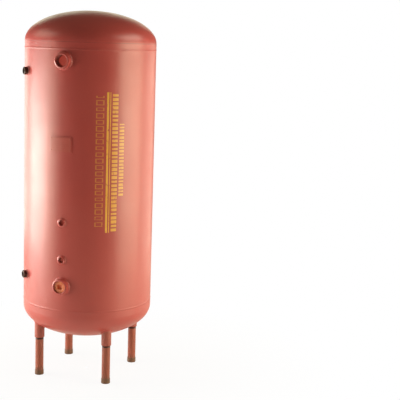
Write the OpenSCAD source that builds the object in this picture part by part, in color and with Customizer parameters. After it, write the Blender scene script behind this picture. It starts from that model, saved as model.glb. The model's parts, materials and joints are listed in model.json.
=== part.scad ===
// Vertical welded receiver tank on four screwed pipe legs.
// The origin is on the floor under the vessel's axis, +Z is up and the main ports face -Y.
// Azimuths are in degrees from -Y, positive towards +X. All lengths are in millimetres.

/* [Vessel] */
// Outside diameter of the shell and of both heads
vessel_od = 762; // [720:1:920]
// Wall thickness of the shell and of both heads
wall_t = 6.4; // [5:0.1:9]
// Height of the lower tangent line, where the bottom head starts to curve, above the floor
lower_tangent_z = 416; // [400:1:520]
// Distance between the two tangent lines
tangent_length = 1558; // [1450:1:1900]
// Depth of each head outside, from its tangent line to its crown
head_depth = 180; // [150:1:190]
// Straight flange of each head, between its tangent line and its girth seam
head_flange = 38; // [30:1:42]

/* [Seams] */
// Width of a seam's bead at the outside surface
seam_width = 12; // [8:1:14]
// Gap between the plate edges at the root of a seam
seam_root = 3; // [2:0.5:4]
// Height of a seam's bead above the plate
seam_crown = 1.8; // [1:0.1:3]
// Azimuth of the shell's long seam
long_seam_azimuth = 150; // [100:1:200]
// Thickness of the backing strip behind each girth seam
backing_t = 3.2; // [2:0.1:5]
// Width of the backing strip along the vessel
backing_width = 38; // [25:1:50]
// Gap between a backing strip and the wall in front of it
backing_gap = 0.1; // [0.05:0.05:0.3]
// Leg length of the fillet weld round a coupling or a socket
fillet_leg = 7; // [4:0.5:9]

/* [Main ports] */
// Outside diameter of the two main couplings
main_coupling_od = 92; // [80:1:100]
// Bore of the two main couplings inside their threads
main_bore_d = 66.7; // [50:0.1:72]
// Length of a main coupling
main_coupling_length = 46; // [40:1:60]
// How far a main coupling stands out of the shell
main_projection = 30; // [15:1:32]
// Centre of the upper main port below the upper tangent line
upper_main_drop = 103; // [100:1:115]
// Centre of the lower main port above the lower tangent line
lower_main_rise = 183; // [120:1:230]

/* [Small ports] */
// Outside diameter of the small couplings
small_coupling_od = 44.5; // [38:0.5:50]
// Bore of the small couplings inside their threads
small_bore_d = 29.4; // [23:0.1:32]
// Length of a gauge coupling on the front
gauge_coupling_length = 30; // [24:1:40]
// How far a gauge coupling stands out of the shell
gauge_projection = 9; // [5:1:15]
// Centre of the upper gauge port above the lower tangent line
upper_gauge_rise = 550; // [480:1:700]
// Centre of the lower gauge port above the lower tangent line
lower_gauge_rise = 335; // [320:1:420]
// Length of a side coupling
side_coupling_length = 40; // [34:1:60]
// How far a side coupling stands out of the shell
side_projection = 27; // [15:1:28]
// Azimuth of both side ports
side_azimuth = -45; // [-80:1:-30]
// Centre of the upper side port below the upper tangent line
upper_side_drop = 171; // [90:1:400]
// Centre of the lower side port above the lower tangent line
lower_side_rise = 206; // [90:1:500]
// Length of the drain coupling under the bottom head
drain_coupling_length = 38; // [34:1:50]
// How far the drain coupling stands out of the bottom head
drain_projection = 22; // [15:1:25]
// Chamfer of every coupling's mouth
mouth_chamfer = 2; // [1:0.5:3]
// Chamfer of every coupling's outer edge
edge_chamfer = 1.5; // [0.5:0.5:3]
// Gap between a coupling and the hole that it passes through
coupling_gap = 0.2; // [0.1:0.1:0.5]

/* [Port plug] */
// Length of the plug in the lower main port
plug_length = 24; // [18:1:30]
// Depth of the plug's outer face below the coupling's rim
plug_recess = 9; // [4:1:14]
// Width across the square socket in the plug
plug_socket_width = 28; // [20:1:34]
// Depth of the square socket in the plug
plug_socket_depth = 14; // [8:1:16]

/* [Legs] */
// Radius of the circle on which the legs stand
leg_circle_r = 302; // [280:1:320]
// Outside diameter of a leg's pipe
leg_pipe_od = 48.3; // [44:0.1:52]
// Wall thickness of a leg's pipe
leg_pipe_wall = 3.7; // [3:0.1:4]
// Distance of the sockets' lower faces below the lower tangent line
socket_drop = 186; // [160:1:210]
// Wall of a leg's socket outside its thread
socket_wall = 6.35; // [5:0.05:9]
// Length of thread held in the socket
thread_engagement = 26; // [18:1:34]
// Length of thread left in sight below the socket
thread_in_sight = 9; // [4:1:20]
// Pitch of the pipe thread
thread_pitch = 2.2; // [1.5:0.1:3]
// Height of the pipe thread from root to crest
thread_height = 1.8; // [1:0.1:2]
// Gap between a screwed piece and the thread that it turns in
thread_gap = 0.3; // [0.2:0.05:0.5]
// Height of the push-on cap on a leg's foot
foot_cap_height = 30; // [20:1:45]
// Wall thickness of a foot cap
foot_cap_wall = 2; // [1:0.1:4]
// Thickness of a foot cap's floor
foot_cap_floor = 3; // [2:0.5:6]
// Gap between a leg and its foot cap
foot_cap_gap = 0.1; // [0.05:0.05:0.3]

/* [Data plate] */
// Width of the pad under the data plate, round the shell
pad_width = 136; // [100:1:160]
// Height of the pad under the data plate
pad_height = 90; // [60:1:120]
// Thickness of the pad
pad_t = 3; // [2:0.5:5]
// Margin of the pad around the data plate
pad_margin = 5; // [3:1:12]
// Thickness of the data plate
plate_t = 1; // [0.5:0.1:2]
// Azimuth of the data plate
plate_azimuth = -2; // [-15:1:15]
// Centre of the data plate above the lower tangent line
plate_rise = 992; // [800:1:1150]
// Diameter of a drive pin's head
pin_head_d = 6; // [4:0.5:8]
// Diameter of a drive pin's shank
pin_shank_d = 3; // [2:0.1:4]
// Gap round a drive pin and under its head
pin_gap = 0.1; // [0.05:0.05:0.3]
// Distance from the data plate's edges to the pins
pin_inset = 7; // [5:1:10]

/* [Hidden] */
CORNERS = ["front_left", "front_right", "rear_right", "rear_left"];
CORNER_AZIMUTHS = [-45, 45, 135, 225];
CORNER_PARTS = ["_socket", "_socket_weld", "_leg", "_foot_cap"];
VESSEL_NODES = ["shell", "top_head", "bottom_head", "top_girth_weld", "bottom_girth_weld",
    "long_seam_weld", "top_backing_ring", "bottom_backing_ring",
    "upper_main_coupling", "lower_main_coupling", "upper_gauge_coupling",
    "lower_gauge_coupling", "upper_side_coupling", "lower_side_coupling", "drain_coupling",
    "upper_main_weld", "lower_main_weld", "upper_gauge_weld", "lower_gauge_weld",
    "upper_side_weld", "lower_side_weld", "drain_weld", "lower_main_plug",
    "data_plate_pad", "data_plate", "data_plate_pins"];

ROUND_FN = 180;
SMALL_FN = 96;
PIN_FN = 32;
// Straight bands in each quarter of a head's outline
HEAD_BANDS = 40;
// Length by which a cutting shape runs past what it cuts
PAST = 40;
// Turn of a fillet ring about its own axis, which keeps its seam off the shell's level lines
RING_TURN = 37;

vessel_r = vessel_od / 2;
bore_r = vessel_r - wall_t;
upper_tangent_z = lower_tangent_z + tangent_length;
socket_face_z = lower_tangent_z - socket_drop;
lower_seam_z = lower_tangent_z + head_flange;
upper_seam_z = upper_tangent_z - head_flange;
bottom_crown_z = lower_tangent_z - head_depth;
pipe_r = leg_pipe_od / 2;
socket_bore_r = pipe_r - thread_height + thread_gap;
socket_od = 2 * (socket_bore_r + socket_wall);
plate_r = vessel_r + pad_t;
plate_z = lower_tangent_z + plate_rise;
plate_width = pad_width - 2 * pad_margin;
plate_height = pad_height - 2 * pad_margin;

PAINT = "indianred";
WELD_PAINT = "brown";
LEG_PAINT = "sienna";

// Half of an ellipse's outline from its edge to its crown
function quarter_ellipse(a, b) =
    [for (i = [0:HEAD_BANDS]) [a * cos(90 * i / HEAD_BANDS), b * sin(90 * i / HEAD_BANDS)]];

function reversed(list) = [for (i = [len(list) - 1:-1:0]) list[i]];

function crown_points(width) = [
    [vessel_r, -width / 2],
    [vessel_r + seam_crown * 0.7, -width / 3],
    [vessel_r + seam_crown, -width / 8],
    [vessel_r + seam_crown, width / 8],
    [vessel_r + seam_crown * 0.7, width / 3],
    [vessel_r, width / 2]];

module at_port(azimuth, height)
    rotate([0, 0, azimuth])
        translate([0, -vessel_r, height])
            rotate([90, 0, 0])
                children();

module at_drain()
    translate([0, 0, bottom_crown_z])
        rotate([180, 0, 0])
            children();

module at_corner(index)
    rotate([0, 0, CORNER_AZIMUTHS[index]])
        translate([0, -leg_circle_r, 0])
            children();

// Solid bounded by the bottom head's outside, grown by a margin
module bottom_head_body(margin)
    translate([0, 0, lower_tangent_z])
        mirror([0, 0, 1])
            rotate_extrude($fn = ROUND_FN)
                polygon(concat([[0, -PAST], [vessel_r + margin, -PAST]],
                    quarter_ellipse(vessel_r + margin, head_depth + margin)));

module coupling_hole(od)
    translate([0, 0, -PAST])
        cylinder(d = od + 2 * coupling_gap, h = 2 * PAST, $fn = SMALL_FN);

module coupling(od, bore_d, length, projection)
    rotate_extrude($fn = SMALL_FN)
        polygon([
            [bore_d / 2, projection - length],
            [od / 2, projection - length],
            [od / 2, projection - edge_chamfer],
            [od / 2 - edge_chamfer, projection],
            [bore_d / 2 + mouth_chamfer, projection],
            [bore_d / 2, projection - mouth_chamfer]]);

// Fillet weld round a coupling, before the vessel's wall is cut from it
module fillet_ring(od)
    rotate_extrude($fn = SMALL_FN)
        polygon([
            [od / 2, -fillet_leg],
            [od / 2 + 2 * fillet_leg, -fillet_leg],
            [od / 2 + fillet_leg * 0.45, fillet_leg * 0.55],
            [od / 2, fillet_leg]]);

module shell() color(PAINT)
    difference() {
        rotate_extrude($fn = ROUND_FN)
            polygon([
                [bore_r, lower_seam_z + seam_root / 2],
                [vessel_r, lower_seam_z + seam_width / 2],
                [vessel_r, upper_seam_z - seam_width / 2],
                [bore_r, upper_seam_z - seam_root / 2]]);
        long_seam_groove();
        at_port(0, upper_tangent_z - upper_main_drop) coupling_hole(main_coupling_od);
        at_port(0, lower_tangent_z + lower_main_rise) coupling_hole(main_coupling_od);
        at_port(0, lower_tangent_z + upper_gauge_rise) coupling_hole(small_coupling_od);
        at_port(0, lower_tangent_z + lower_gauge_rise) coupling_hole(small_coupling_od);
        at_port(side_azimuth, upper_tangent_z - upper_side_drop)
            coupling_hole(small_coupling_od);
        at_port(side_azimuth, lower_tangent_z + lower_side_rise)
            coupling_hole(small_coupling_od);
    }

// Head with its crown towards +Z and its tangent line at zero
module head_plate()
    rotate_extrude($fn = ROUND_FN)
        polygon(concat(
            [[vessel_r, -head_flange + seam_width / 2]],
            quarter_ellipse(vessel_r, head_depth),
            reversed(quarter_ellipse(bore_r, head_depth - wall_t)),
            [[bore_r, -head_flange + seam_root / 2]]));

module top_head() color(PAINT)
    translate([0, 0, upper_tangent_z])
        head_plate();

module bottom_head() color(PAINT)
    difference() {
        translate([0, 0, lower_tangent_z])
            mirror([0, 0, 1])
                head_plate();
        at_drain() coupling_hole(small_coupling_od);
    }

module girth_weld(height) color(WELD_PAINT)
    translate([0, 0, height])
        rotate_extrude($fn = ROUND_FN)
            polygon(concat([[bore_r, seam_root / 2], [bore_r, -seam_root / 2]],
                crown_points(seam_width)));

module backing_ring(height) color(WELD_PAINT)
    translate([0, 0, height - backing_width / 2])
        difference() {
            cylinder(r = bore_r - backing_gap, h = backing_width, $fn = ROUND_FN);
            translate([0, 0, -1])
                cylinder(r = bore_r - backing_gap - backing_t, h = backing_width + 2,
                    $fn = ROUND_FN);
        }

module along_long_seam()
    translate([0, 0, lower_seam_z + seam_width / 2])
        rotate([0, 0, long_seam_azimuth - 90])
            linear_extrude(upper_seam_z - lower_seam_z - seam_width)
                children();

module long_seam_groove()
    along_long_seam()
        polygon([
            [bore_r - 1, -seam_root / 2],
            [bore_r, -seam_root / 2],
            [vessel_r, -seam_width / 2],
            [vessel_r + 1, -seam_width / 2],
            [vessel_r + 1, seam_width / 2],
            [vessel_r, seam_width / 2],
            [bore_r, seam_root / 2],
            [bore_r - 1, seam_root / 2]]);

module long_seam_weld() color(WELD_PAINT)
    along_long_seam()
        polygon(concat([[bore_r, seam_root / 2], [bore_r, -seam_root / 2]],
            crown_points(seam_width)));

module main_coupling(height) color(PAINT)
    at_port(0, height)
        coupling(main_coupling_od, main_bore_d, main_coupling_length, main_projection);

module gauge_coupling(height) color(PAINT)
    at_port(0, height)
        coupling(small_coupling_od, small_bore_d, gauge_coupling_length, gauge_projection);

module side_coupling(height) color(PAINT)
    at_port(side_azimuth, height)
        coupling(small_coupling_od, small_bore_d, side_coupling_length, side_projection);

module drain_coupling() color(PAINT)
    at_drain()
        coupling(small_coupling_od, small_bore_d, drain_coupling_length, drain_projection);

module port_weld(azimuth, height, od) color(WELD_PAINT)
    difference() {
        at_port(azimuth, height) rotate([0, 0, RING_TURN]) fillet_ring(od);
        cylinder(r = vessel_r, h = upper_tangent_z, $fn = ROUND_FN);
    }

module drain_weld() color(WELD_PAINT)
    difference() {
        at_drain() fillet_ring(small_coupling_od);
        bottom_head_body(0);
    }

// Countersunk plug with a square socket, screwed in below the coupling's rim
module lower_main_plug() color(PAINT)
    at_port(0, lower_tangent_z + lower_main_rise)
        translate([0, 0, main_projection - plug_recess - plug_length])
            difference() {
                cylinder(d = main_bore_d - 2 * thread_gap, h = plug_length, $fn = SMALL_FN);
                translate([0, 0, plug_length - plug_socket_depth / 2 + 1])
                    cube([plug_socket_width, plug_socket_width, plug_socket_depth + 2],
                        center = true);
            }

// Pipe coupling coped to the bottom head, into which a leg is screwed
module socket(index) color(PAINT)
    difference() {
        at_corner(index)
            translate([0, 0, socket_face_z])
                difference() {
                    cylinder(d = socket_od, h = lower_tangent_z - socket_face_z,
                        $fn = SMALL_FN);
                    translate([0, 0, -1])
                        cylinder(r = socket_bore_r, h = lower_tangent_z, $fn = SMALL_FN);
                }
        bottom_head_body(0);
    }

module socket_weld(index) color(WELD_PAINT)
    difference() {
        intersection() {
            at_corner(index)
                translate([0, 0, socket_face_z])
                    cylinder(d = socket_od + 2 * fillet_leg,
                        h = lower_tangent_z - socket_face_z, $fn = SMALL_FN);
            bottom_head_body(fillet_leg);
        }
        at_corner(index)
            cylinder(d = socket_od, h = lower_tangent_z, $fn = SMALL_FN);
        bottom_head_body(0);
    }

// Crests and roots of the thread in sight, from its lower end up
function thread_points(start, count) =
    [for (i = [0:count - 1]) each [
        [pipe_r, start + i * thread_pitch],
        [pipe_r - thread_height, start + (i + 0.5) * thread_pitch]]];

module leg(index) color(LEG_PAINT) {
    stop_z = socket_face_z - thread_gap;
    spigot_top = socket_face_z + thread_engagement;
    turns = max(1, round(thread_in_sight / thread_pitch));
    at_corner(index)
        rotate_extrude($fn = SMALL_FN)
            polygon(concat(
                [[pipe_r - leg_pipe_wall, foot_cap_floor], [pipe_r, foot_cap_floor]],
                thread_points(stop_z - (turns + 0.5) * thread_pitch, turns),
                [[pipe_r, stop_z - thread_pitch / 2],
                    [pipe_r, stop_z],
                    [pipe_r - thread_height, stop_z],
                    [pipe_r - thread_height, spigot_top],
                    [pipe_r - leg_pipe_wall, spigot_top]]));
}

module foot_cap(index) color("dimgray")
    at_corner(index)
        difference() {
            cylinder(r = pipe_r + foot_cap_gap + foot_cap_wall, h = foot_cap_height,
                $fn = SMALL_FN);
            translate([0, 0, foot_cap_floor])
                cylinder(r = pipe_r + foot_cap_gap, h = foot_cap_height, $fn = SMALL_FN);
        }

// Curved sheet that lies on a cylinder about the vessel's axis
module curved_sheet(inner_r, thickness, width, height)
    rotate([0, 0, plate_azimuth])
        intersection() {
            difference() {
                cylinder(r = inner_r + thickness, h = 2 * plate_z, $fn = ROUND_FN);
                translate([0, 0, -1])
                    cylinder(r = inner_r, h = 2 * plate_z + 2, $fn = ROUND_FN);
            }
            translate([-width / 2, -2 * vessel_r, plate_z - height / 2])
                cube([width, 2 * vessel_r, height]);
        }

// Places for the data plate's four pins, each facing out along its own radius
module at_pins()
    for (side = [-1, 1], level = [-1, 1])
        rotate([0, 0, plate_azimuth + side * asin((plate_width / 2 - pin_inset) / plate_r)])
            translate([0, -plate_r, plate_z + level * (plate_height / 2 - pin_inset)])
                rotate([90, 0, 0])
                    children();

module pin_holes()
    at_pins()
        translate([0, 0, -pad_t - 1])
            cylinder(d = pin_shank_d + 2 * pin_gap, h = pad_t + plate_t + 2,
                $fn = PIN_FN);

module data_plate_pad() color(PAINT)
    difference() {
        curved_sheet(vessel_r, pad_t, pad_width, pad_height);
        pin_holes();
    }

module data_plate() color("rosybrown")
    difference() {
        curved_sheet(plate_r, plate_t, plate_width, plate_height);
        pin_holes();
    }

module data_plate_pins() color("gray")
    at_pins()
        rotate_extrude($fn = PIN_FN)
            polygon([
                [0, pin_gap - pad_t],
                [pin_shank_d / 2, pin_gap - pad_t],
                [pin_shank_d / 2, plate_t + pin_gap],
                [pin_head_d / 2, plate_t + pin_gap],
                [pin_head_d / 2, plate_t + pin_gap + 0.8],
                [pin_head_d / 4, plate_t + pin_gap + 1.8],
                [0, plate_t + pin_gap + 2]]);

shell();
top_head();
bottom_head();
girth_weld(upper_seam_z);  // top_girth_weld
girth_weld(lower_seam_z);  // bottom_girth_weld
long_seam_weld();
backing_ring(upper_seam_z);  // top_backing_ring
backing_ring(lower_seam_z);  // bottom_backing_ring
main_coupling(upper_tangent_z - upper_main_drop);  // upper_main_coupling
main_coupling(lower_tangent_z + lower_main_rise);  // lower_main_coupling
gauge_coupling(lower_tangent_z + upper_gauge_rise);  // upper_gauge_coupling
gauge_coupling(lower_tangent_z + lower_gauge_rise);  // lower_gauge_coupling
side_coupling(upper_tangent_z - upper_side_drop);  // upper_side_coupling
side_coupling(lower_tangent_z + lower_side_rise);  // lower_side_coupling
drain_coupling();
port_weld(0, upper_tangent_z - upper_main_drop, main_coupling_od);  // upper_main_weld
port_weld(0, lower_tangent_z + lower_main_rise, main_coupling_od);  // lower_main_weld
port_weld(0, lower_tangent_z + upper_gauge_rise, small_coupling_od);  // upper_gauge_weld
port_weld(0, lower_tangent_z + lower_gauge_rise, small_coupling_od);  // lower_gauge_weld
port_weld(side_azimuth, upper_tangent_z - upper_side_drop, small_coupling_od);  // upper_side_weld
port_weld(side_azimuth, lower_tangent_z + lower_side_rise, small_coupling_od);  // lower_side_weld
drain_weld();
lower_main_plug();
for (index = [0:3]) {
    socket(index);
    socket_weld(index);
    leg(index);
    foot_cap(index);
}
data_plate_pad();
data_plate();
data_plate_pins();
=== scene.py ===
"""Vertical receiver tank on screwed pipe legs: plates, seams, ports and finishes."""
import json
import math

import bmesh
import bpy
import numpy as np
from mathutils import Matrix, Vector, noise


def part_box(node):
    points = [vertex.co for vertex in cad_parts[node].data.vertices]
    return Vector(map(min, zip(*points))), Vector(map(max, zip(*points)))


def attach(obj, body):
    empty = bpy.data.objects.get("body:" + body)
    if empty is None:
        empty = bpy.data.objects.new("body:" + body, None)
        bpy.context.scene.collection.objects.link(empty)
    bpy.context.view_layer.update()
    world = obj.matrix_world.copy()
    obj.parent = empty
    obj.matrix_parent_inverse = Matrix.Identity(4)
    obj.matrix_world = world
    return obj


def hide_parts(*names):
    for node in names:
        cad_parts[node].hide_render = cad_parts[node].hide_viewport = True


bl_info = {
    "name": "Receiver Tank",
    "version": (1, 0, 0),
    "blender": (4, 5, 0),
    "location": "View3D > Sidebar > Tank",
    "description": "Builds a welded receiver tank with ports, plug, data plate and screwed legs",
    "category": "Object",
}

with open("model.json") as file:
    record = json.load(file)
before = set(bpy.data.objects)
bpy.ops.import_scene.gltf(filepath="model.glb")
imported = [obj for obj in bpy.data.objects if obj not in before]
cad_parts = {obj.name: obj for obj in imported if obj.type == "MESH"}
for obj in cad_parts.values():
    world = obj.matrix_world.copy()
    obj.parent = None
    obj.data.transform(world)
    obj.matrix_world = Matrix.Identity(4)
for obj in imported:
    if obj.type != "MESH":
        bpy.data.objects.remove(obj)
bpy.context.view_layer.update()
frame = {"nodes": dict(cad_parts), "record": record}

CORNERS = ("front_left", "front_right", "rear_right", "rear_left")
BODY_OF = {n: b for b, nodes in frame["record"]["behaviour"]["bodies"].items() for n in nodes}
MM = 0.001


# ---------------------------------------------------------------- sizes read from the frame

def centre(node):
    """Middle of a CAD node's box."""
    low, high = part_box(node)
    return (low + high) / 2


def measured(node, place):
    """(low, high, inner radius, outer radius) of a CAD node along and about a place's Z axis."""
    back = place.inverted()
    points = np.array([back @ v.co for v in frame["nodes"][node].data.vertices])
    radii = np.hypot(points[:, 0], points[:, 1])
    return points[:, 2].min(), points[:, 2].max(), radii.min(), radii.max()


def port_place(node):
    """Frame of a port: Z out along its axis from the vessel's axis, Y up the vessel."""
    middle = centre(node)
    if math.hypot(middle.x, middle.y) < MM:
        return Matrix(((1, 0, 0, 0), (0, -1, 0, 0), (0, 0, -1, 0), (0, 0, 0, 1)))
    out = Vector((middle.x, middle.y, 0)).normalized()
    side = Vector((-out.y, out.x, 0))
    turn = Matrix((side, Vector((0, 0, 1)), out)).transposed().to_4x4()
    return Matrix.Translation((0, 0, middle.z)) @ turn


def corner_place(corner):
    """Frame of a leg: on the floor, Z up along the leg."""
    middle = centre(corner + "_leg")
    return Matrix.Translation((middle.x, middle.y, 0))


SHELL_PORTS = ("upper_main", "lower_main", "upper_gauge", "lower_gauge", "upper_side",
               "lower_side")
RULE_AZIMUTH = math.radians(38.0)
VESSEL_R = measured("shell", Matrix.Identity(4))[3]
TOP_SEAM_Z = centre("top_girth_weld").z
BOTTOM_SEAM_Z = centre("bottom_girth_weld").z
TOP_CROWN_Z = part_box("top_head")[1].z
BOTTOM_CROWN_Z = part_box("bottom_head")[0].z


# ---------------------------------------------------------------- settings

class TANK_PG_sizes(bpy.types.PropertyGroup):
    """Sizes that the frame's boxes don't give by themselves."""
    wall: bpy.props.FloatProperty(
        name="Wall", description="Thickness of the plates", default=0.0064, unit="LENGTH")
    flange: bpy.props.FloatProperty(
        name="Head flange", description="Straight flange of a head", default=0.038,
        unit="LENGTH")
    seam_width: bpy.props.FloatProperty(
        name="Seam width", description="Width of a seam's bead", default=0.012, unit="LENGTH")
    seam_root: bpy.props.FloatProperty(
        name="Seam root", description="Gap at the root of a seam", default=0.003,
        unit="LENGTH")
    seam_crown: bpy.props.FloatProperty(
        name="Seam crown", description="Height of a seam's bead", default=0.0008,
        unit="LENGTH")
    fillet: bpy.props.FloatProperty(
        name="Fillet", description="Leg length of a fillet weld", default=0.0068,
        unit="LENGTH")
    ripple: bpy.props.FloatProperty(
        name="Ripple", description="Length of one weld ripple", default=0.0036,
        unit="LENGTH")
    main_pitch: bpy.props.FloatProperty(
        name="Main pitch", description="Thread pitch of the main ports", default=0.003175,
        unit="LENGTH")
    small_pitch: bpy.props.FloatProperty(
        name="Small pitch", description="Thread pitch of small ports and legs",
        default=0.0022, unit="LENGTH")
    thread_depth: bpy.props.FloatProperty(
        name="Leg thread depth", description="Height of the leg's thread", default=0.0018,
        unit="LENGTH")
    thread_in_sight: bpy.props.FloatProperty(
        name="Thread in sight", description="Leg thread below its socket", default=0.010,
        unit="LENGTH")


class TANK_PG_finish(bpy.types.PropertyGroup):
    """Colours and gloss of the tank's finishes."""
    primer: bpy.props.FloatVectorProperty(
        name="Primer", description="Red oxide primer on the plates", subtype="COLOR",
        default=(0.50, 0.070, 0.060))
    primer_deep: bpy.props.FloatVectorProperty(
        name="Deep primer", description="Thicker and darker primer", subtype="COLOR",
        default=(0.44, 0.052, 0.048))
    primer_pale: bpy.props.FloatVectorProperty(
        name="Pale primer", description="Thin, dry primer", subtype="COLOR",
        default=(0.66, 0.150, 0.090))
    marking: bpy.props.FloatVectorProperty(
        name="Marking", description="Yellow marking paint", subtype="COLOR",
        default=(0.86, 0.46, 0.055))
    # Near-black tone of the side couplings: partly bare steel, partly painted shade on their
    # faces turned from the lights.
    bare: bpy.props.FloatVectorProperty(
        name="Bare steel", description="Dark steel without paint", subtype="COLOR",
        default=(0.055, 0.030, 0.022))
    sheen: bpy.props.FloatProperty(
        name="Sheen", description="Specular level of the sprayed primer", default=0.9,
        subtype="FACTOR")
    gloss: bpy.props.FloatProperty(
        name="Roughness", description="Roughness of the sprayed primer", default=0.34,
        subtype="FACTOR")


class TANK_PG_studio(bpy.types.PropertyGroup):
    """Camera and lights."""
    azimuth: bpy.props.FloatProperty(
        name="Azimuth", description="Camera's direction from the vessel, from -Y",
        default=math.radians(23.0), subtype="ANGLE")
    distance: bpy.props.FloatProperty(
        name="Distance", description="Camera to the vessel's axis", default=5.93,
        unit="LENGTH")
    height: bpy.props.FloatProperty(
        name="Height", description="Camera above the floor", default=2.01, unit="LENGTH")
    yaw: bpy.props.FloatProperty(
        name="Yaw", description="Camera's turn to the right of the axis",
        default=math.radians(6.429), subtype="ANGLE")
    pitch: bpy.props.FloatProperty(
        name="Pitch", description="Camera's tilt below the level",
        default=math.radians(9.129), subtype="ANGLE")
    roll: bpy.props.FloatProperty(
        name="Roll", description="Camera's roll", default=math.radians(1.865),
        subtype="ANGLE")
    lens: bpy.props.FloatProperty(
        name="Lens", description="Focal length in millimetres", default=89.94)
    key: bpy.props.FloatProperty(
        name="Key light", description="Power of the large left softbox", default=98.0,
        unit="POWER")
    fill: bpy.props.FloatProperty(
        name="Fill light", description="Power of the right softbox", default=100.0,
        unit="POWER")
    inside: bpy.props.FloatProperty(
        name="Inside lamps", description="Power of each lamp inside the vessel", default=0.8,
        unit="POWER")


# ---------------------------------------------------------------- mesh helpers

def around(count):
    """Angles of a ring's columns."""
    return np.arange(count) * (2 * math.pi / count)


def placed(points, place):
    """An array of points moved by a place."""
    turn = np.array(place.to_3x3())
    return points @ turn.T + np.array(place.translation)


def new_piece(name, points, faces, sharp=35.0):
    """Object of points and faces, smooth except where its faces meet sharply."""
    mesh = bpy.data.meshes.new(name)
    mesh.from_pydata([tuple(p) for p in points], [], faces)
    mesh.update()
    mesh.validate()
    mesh.shade_smooth()
    mesh.set_sharp_from_angle(angle=math.radians(sharp))
    piece = bpy.data.objects.new(name, mesh)
    bpy.context.scene.collection.objects.link(piece)
    return piece


def grid_faces(rows, columns, wrap_rows, wrap_columns=True):
    """Quads of a grid of points numbered row by row."""
    index = np.arange(rows * columns).reshape(rows, columns)
    if wrap_rows:
        index = np.vstack([index, index[:1]])
    if wrap_columns:
        index = np.hstack([index, index[:, :1]])
    quads = np.stack([index[:-1, :-1], index[:-1, 1:], index[1:, 1:], index[1:, :-1]], -1)
    return quads.reshape(-1, 4).tolist()


def ring_piece(name, rings, place, wrap_rows=True, sharp=35.0):
    """Solid of closed rings: rings is an array of rows, columns and XYZ in the place."""
    rows, columns = rings.shape[:2]
    faces = grid_faces(rows, columns, wrap_rows)
    if not wrap_rows:
        faces.append(list(range(columns))[::-1])
        faces.append([(rows - 1) * columns + i for i in range(columns)])
    piece = new_piece(name, placed(rings.reshape(-1, 3), place), faces, sharp)
    outward(piece)
    return piece


def outward(piece):
    """Turns a closed piece's faces outwards."""
    work = bmesh.new()
    work.from_mesh(piece.data)
    bmesh.ops.recalc_face_normals(work, faces=work.faces)
    work.to_mesh(piece.data)
    work.free()


def lathe_rings(profile, columns):
    """Rings of a surface of revolution about Z. A profile point's radius may vary round it."""
    angle = around(columns)
    rings = []
    for radius, height in profile:
        radius = np.broadcast_to(radius, (columns,))
        height = np.broadcast_to(height, (columns,))
        rings.append(np.stack([radius * np.cos(angle), radius * np.sin(angle), height], -1))
    return np.array(rings)


def arc(middle, radius, start, end, steps=4):
    """Points of a rounded edge in a profile, angles in degrees from the radial direction."""
    turns = [math.radians(start + (end - start) * i / steps) for i in range(steps + 1)]
    return [(middle[0] + radius * math.cos(t), middle[1] + radius * math.sin(t))
            for t in turns]


def thread_wave(turns):
    """Height of a V thread, from 0 at its root to 1 at its crest."""
    return 1 - np.abs(2 * np.mod(turns, 1.0) - 1)


def drift(values, scale, seed):
    """Slow random change along a run of values, between -1 and 1."""
    return np.array([noise.noise(Vector((v * scale, seed, 0))) for v in values])


def looped_drift(angles, scale, seed):
    """The same round a circle, meeting itself at the end."""
    return np.array([noise.noise(Vector((math.cos(a) * scale, math.sin(a) * scale, seed)))
                     for a in angles])


def settle(piece, node, finish):
    """Gives a piece its finish, its body and the CAD node that it stands for."""
    piece.data.materials.clear()
    piece.data.materials.append(bpy.data.materials[finish])
    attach(piece, BODY_OF[node])
    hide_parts(node)
    return piece


def cut(piece, cutters):
    """Cuts closed pieces from a piece and removes them."""
    for cutter in cutters:
        step = piece.modifiers.new("cut", "BOOLEAN")
        step.operation = "DIFFERENCE"
        step.solver = "EXACT"
        step.object = cutter
    graph = bpy.context.evaluated_depsgraph_get()
    result = bpy.data.meshes.new_from_object(piece.evaluated_get(graph))
    piece.modifiers.clear()
    piece.data = result
    for cutter in cutters:
        bpy.data.objects.remove(cutter)


def smooth_as(piece, outside, normal_at):
    """Sets the normals of a vessel plate from its true surface, inside and out."""
    mesh = piece.data
    mesh.shade_smooth()
    normals = []
    for face in mesh.polygons:
        true = normal_at(face.center)
        facing = face.normal.dot(true)
        for corner in face.loop_indices:
            point = mesh.vertices[mesh.loops[corner].vertex_index].co
            if abs(facing) < outside:
                normals.append(face.normal)
            else:
                normals.append(normal_at(point) * math.copysign(1, facing))
    mesh.normals_split_custom_set(normals)


# ---------------------------------------------------------------- shader helpers

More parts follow.
